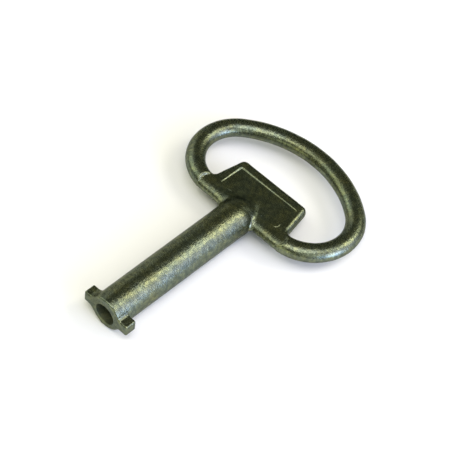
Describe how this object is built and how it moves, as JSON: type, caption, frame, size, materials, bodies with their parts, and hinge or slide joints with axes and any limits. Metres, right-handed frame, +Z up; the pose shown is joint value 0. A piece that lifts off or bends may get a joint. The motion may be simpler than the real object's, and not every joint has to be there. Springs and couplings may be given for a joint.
{
  "type": "double-bit panel key",
  "caption": "Hollow-shank key with an oval ring bow, a tag plate inside the ring and opposed bits at the tip, for turning vent and panel locks.",
  "frame": {"origin": "centre of the key's bounding box in plan, on the plane that its shank rests on", "axes": "+X across the bow, +Y along the shank from the bits towards the bow, +Z up, square to the tag plate"},
  "size_m": [0.0508, 0.075, 0.0093],
  "materials": {
    "passivated_zinc": "satin"
  },
  "bodies": {
    "root": {"bow_ring": "passivated_zinc", "tag_plate": "passivated_zinc", "collar": "passivated_zinc", "shank": "passivated_zinc", "bit_left": "passivated_zinc", "bit_right": "passivated_zinc"}
  },
  "joints": []
}
